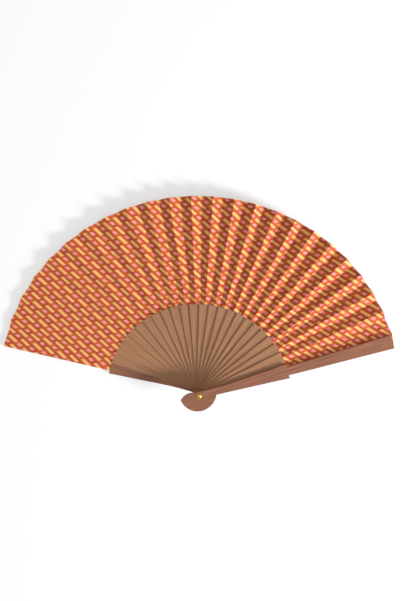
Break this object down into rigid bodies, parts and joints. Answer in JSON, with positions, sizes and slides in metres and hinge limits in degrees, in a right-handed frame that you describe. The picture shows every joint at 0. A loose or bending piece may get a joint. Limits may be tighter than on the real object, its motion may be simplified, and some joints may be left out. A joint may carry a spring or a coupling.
{
  "type": "hand fan",
  "caption": "Folding hand fan lying open: flat wooden ribs between two guards on one brass rivet, with a pleated printed cloth leaf glued to their thin outer ends.",
  "frame": {"origin": "on the rivet's axis, at the underside of the rear guard, which the closed or laid fan rests on", "axes": "+Z along the rivet's axis towards the fan's front, +X to the front guard's side along the open leaf's span, +Y towards the middle of the rim"},
  "size_m": [0.411, 0.2292, 0.0265],
  "materials": {
    "rib_wood": "satin",
    "guard_wood": "satin",
    "leaf_cloth": "matte",
    "brass": "polished"
  },
  "bodies": {
    "rear_guard": {"rear_guard": "guard_wood", "leaf_pleat_23": "leaf_cloth", "rivet_tail": "brass", "rivet_pin": "brass", "rivet_washer": "brass", "rivet_head": "brass"},
    "rib_22": {"rib_22": "rib_wood", "leaf_pleat_22": "leaf_cloth"},
    "rib_21": {"rib_21": "rib_wood", "leaf_pleat_21": "leaf_cloth"},
    "rib_20": {"rib_20": "rib_wood", "leaf_pleat_20": "leaf_cloth"},
    "rib_19": {"rib_19": "rib_wood", "leaf_pleat_19": "leaf_cloth"},
    "rib_18": {"rib_18": "rib_wood", "leaf_pleat_18": "leaf_cloth"},
    "rib_17": {"rib_17": "rib_wood", "leaf_pleat_17": "leaf_cloth"},
    "rib_16": {"rib_16": "rib_wood", "leaf_pleat_16": "leaf_cloth"},
    "rib_15": {"rib_15": "rib_wood", "leaf_pleat_15": "leaf_cloth"},
    "rib_14": {"rib_14": "rib_wood", "leaf_pleat_14": "leaf_cloth"},
    "rib_13": {"rib_13": "rib_wood", "leaf_pleat_13": "leaf_cloth"},
    "rib_12": {"rib_12": "rib_wood", "leaf_pleat_12": "leaf_cloth"},
    "rib_11": {"rib_11": "rib_wood", "leaf_pleat_11": "leaf_cloth"},
    "rib_10": {"rib_10": "rib_wood", "leaf_pleat_10": "leaf_cloth"},
    "rib_09": {"rib_09": "rib_wood", "leaf_pleat_09": "leaf_cloth"},
    "rib_08": {"rib_08": "rib_wood", "leaf_pleat_08": "leaf_cloth"},
    "rib_07": {"rib_07": "rib_wood", "leaf_pleat_07": "leaf_cloth"},
    "rib_06": {"rib_06": "rib_wood", "leaf_pleat_06": "leaf_cloth"},
    "rib_05": {"rib_05": "rib_wood", "leaf_pleat_05": "leaf_cloth"},
    "rib_04": {"rib_04": "rib_wood", "leaf_pleat_04": "leaf_cloth"},
    "rib_03": {"rib_03": "rib_wood", "leaf_pleat_03": "leaf_cloth"},
    "rib_02": {"rib_02": "rib_wood", "leaf_pleat_02": "leaf_cloth"},
    "rib_01": {"rib_01": "rib_wood", "leaf_pleat_01": "leaf_cloth"},
    "front_guard": {"front_guard": "guard_wood", "leaf_pleat_00": "leaf_cloth"}
  },
  "joints": [
    {"name": "rib_22_turn", "type": "hinge", "parent": "rear_guard", "child": "rib_22", "pos_m": [0, 0, 0], "axis": [0, 0, 1], "range_deg": [0, 7.4], "deforming": ["leaf_pleat_22"]},
    {"name": "rib_21_turn", "type": "hinge", "parent": "rib_22", "child": "rib_21", "pos_m": [0, 0, 0], "axis": [0, 0, 1], "range_deg": [0, 7.25], "deforming": ["leaf_pleat_21"]},
    {"name": "rib_20_turn", "type": "hinge", "parent": "rib_21", "child": "rib_20", "pos_m": [0, 0, 0], "axis": [0, 0, 1], "range_deg": [0, 7.08], "deforming": ["leaf_pleat_20"]},
    {"name": "rib_19_turn", "type": "hinge", "parent": "rib_20", "child": "rib_19", "pos_m": [0, 0, 0], "axis": [0, 0, 1], "range_deg": [0, 6.92], "deforming": ["leaf_pleat_19"]},
    {"name": "rib_18_turn", "type": "hinge", "parent": "rib_19", "child": "rib_18", "pos_m": [0, 0, 0], "axis": [0, 0, 1], "range_deg": [0, 6.77], "deforming": ["leaf_pleat_18"]},
    {"name": "rib_17_turn", "type": "hinge", "parent": "rib_18", "child": "rib_17", "pos_m": [0, 0, 0], "axis": [0, 0, 1], "range_deg": [0, 6.63], "deforming": ["leaf_pleat_17"]},
    {"name": "rib_16_turn", "type": "hinge", "parent": "rib_17", "child": "rib_16", "pos_m": [0, 0, 0], "axis": [0, 0, 1], "range_deg": [0, 6.51], "deforming": ["leaf_pleat_16"]},
    {"name": "rib_15_turn", "type": "hinge", "parent": "rib_16", "child": "rib_15", "pos_m": [0, 0, 0], "axis": [0, 0, 1], "range_deg": [0, 6.4], "deforming": ["leaf_pleat_15"]},
    {"name": "rib_14_turn", "type": "hinge", "parent": "rib_15", "child": "rib_14", "pos_m": [0, 0, 0], "axis": [0, 0, 1], "range_deg": [0, 6.3], "deforming": ["leaf_pleat_14"]},
    {"name": "rib_13_turn", "type": "hinge", "parent": "rib_14", "child": "rib_13", "pos_m": [0, 0, 0], "axis": [0, 0, 1], "range_deg": [0, 6.21], "deforming": ["leaf_pleat_13"]},
    {"name": "rib_12_turn", "type": "hinge", "parent": "rib_13", "child": "rib_12", "pos_m": [0, 0, 0], "axis": [0, 0, 1], "range_deg": [0, 6.14], "deforming": ["leaf_pleat_12"]},
    {"name": "rib_11_turn", "type": "hinge", "parent": "rib_12", "child": "rib_11", "pos_m": [0, 0, 0], "axis": [0, 0, 1], "range_deg": [0, 6.08], "deforming": ["leaf_pleat_11"]},
    {"name": "rib_10_turn", "type": "hinge", "parent": "rib_11", "child": "rib_10", "pos_m": [0, 0, 0], "axis": [0, 0, 1], "range_deg": [0, 6.04], "deforming": ["leaf_pleat_10"]},
    {"name": "rib_09_turn", "type": "hinge", "parent": "rib_10", "child": "rib_09", "pos_m": [0, 0, 0], "axis": [0, 0, 1], "range_deg": [0, 6.01], "deforming": ["leaf_pleat_09"]},
    {"name": "rib_08_turn", "type": "hinge", "parent": "rib_09", "child": "rib_08", "pos_m": [0, 0, 0], "axis": [0, 0, 1], "range_deg": [0, 5.99], "deforming": ["leaf_pleat_08"]},
    {"name": "rib_07_turn", "type": "hinge", "parent": "rib_08", "child": "rib_07", "pos_m": [0, 0, 0], "axis": [0, 0, 1], "range_deg": [0, 5.98], "deforming": ["leaf_pleat_07"]},
    {"name": "rib_06_turn", "type": "hinge", "parent": "rib_07", "child": "rib_06", "pos_m": [0, 0, 0], "axis": [0, 0, 1], "range_deg": [0, 5.99], "deforming": ["leaf_pleat_06"]},
    {"name": "rib_05_turn", "type": "hinge", "parent": "rib_06", "child": "rib_05", "pos_m": [0, 0, 0], "axis": [0, 0, 1], "range_deg": [0, 6.01], "deforming": ["leaf_pleat_05"]},
    {"name": "rib_04_turn", "type": "hinge", "parent": "rib_05", "child": "rib_04", "pos_m": [0, 0, 0], "axis": [0, 0, 1], "range_deg": [0, 6.04], "deforming": ["leaf_pleat_04"]},
    {"name": "rib_03_turn", "type": "hinge", "parent": "rib_04", "child": "rib_03", "pos_m": [0, 0, 0], "axis": [0, 0, 1], "range_deg": [0, 6.08], "deforming": ["leaf_pleat_03"]},
    {"name": "rib_02_turn", "type": "hinge", "parent": "rib_03", "child": "rib_02", "pos_m": [0, 0, 0], "axis": [0, 0, 1], "range_deg": [0, 6.14], "deforming": ["leaf_pleat_02"]},
    {"name": "rib_01_turn", "type": "hinge", "parent": "rib_02", "child": "rib_01", "pos_m": [0, 0, 0], "axis": [0, 0, 1], "range_deg": [0, 6.21], "deforming": ["leaf_pleat_01"]},
    {"name": "front_guard_turn", "type": "hinge", "parent": "rib_01", "child": "front_guard", "pos_m": [0, 0, 0], "axis": [0, 0, 1], "range_deg": [0, 8.21], "deforming": ["leaf_pleat_00"]}
  ],
  "couplings": [
    {"joint": "rib_21_turn", "follows": "rib_22_turn", "ratio": 0.97892},
    {"joint": "rib_20_turn", "follows": "rib_22_turn", "ratio": 0.9552},
    {"joint": "rib_19_turn", "follows": "rib_22_turn", "ratio": 0.93324},
    {"joint": "rib_18_turn", "follows": "rib_22_turn", "ratio": 0.91304},
    {"joint": "rib_17_turn", "follows": "rib_22_turn", "ratio": 0.89459},
    {"joint": "rib_16_turn", "follows": "rib_22_turn", "ratio": 0.87791},
    {"joint": "rib_15_turn", "follows": "rib_22_turn", "ratio": 0.86297},
    {"joint": "rib_14_turn", "follows": "rib_22_turn", "ratio": 0.8498},
    {"joint": "rib_13_turn", "follows": "rib_22_turn", "ratio": 0.83838},
    {"joint": "rib_12_turn", "follows": "rib_22_turn", "ratio": 0.82872},
    {"joint": "rib_11_turn", "follows": "rib_22_turn", "ratio": 0.82081},
    {"joint": "rib_10_turn", "follows": "rib_22_turn", "ratio": 0.81466},
    {"joint": "rib_09_turn", "follows": "rib_22_turn", "ratio": 0.81027},
    {"joint": "rib_08_turn", "follows": "rib_22_turn", "ratio": 0.80764},
    {"joint": "rib_07_turn", "follows": "rib_22_turn", "ratio": 0.80676},
    {"joint": "rib_06_turn", "follows": "rib_22_turn", "ratio": 0.80764},
    {"joint": "rib_05_turn", "follows": "rib_22_turn", "ratio": 0.81027},
    {"joint": "rib_04_turn", "follows": "rib_22_turn", "ratio": 0.81466},
    {"joint": "rib_03_turn", "follows": "rib_22_turn", "ratio": 0.82081},
    {"joint": "rib_02_turn", "follows": "rib_22_turn", "ratio": 0.82872},
    {"joint": "rib_01_turn", "follows": "rib_22_turn", "ratio": 0.83838},
    {"joint": "front_guard_turn", "follows": "rib_22_turn", "ratio": 1.1081}
  ]
}
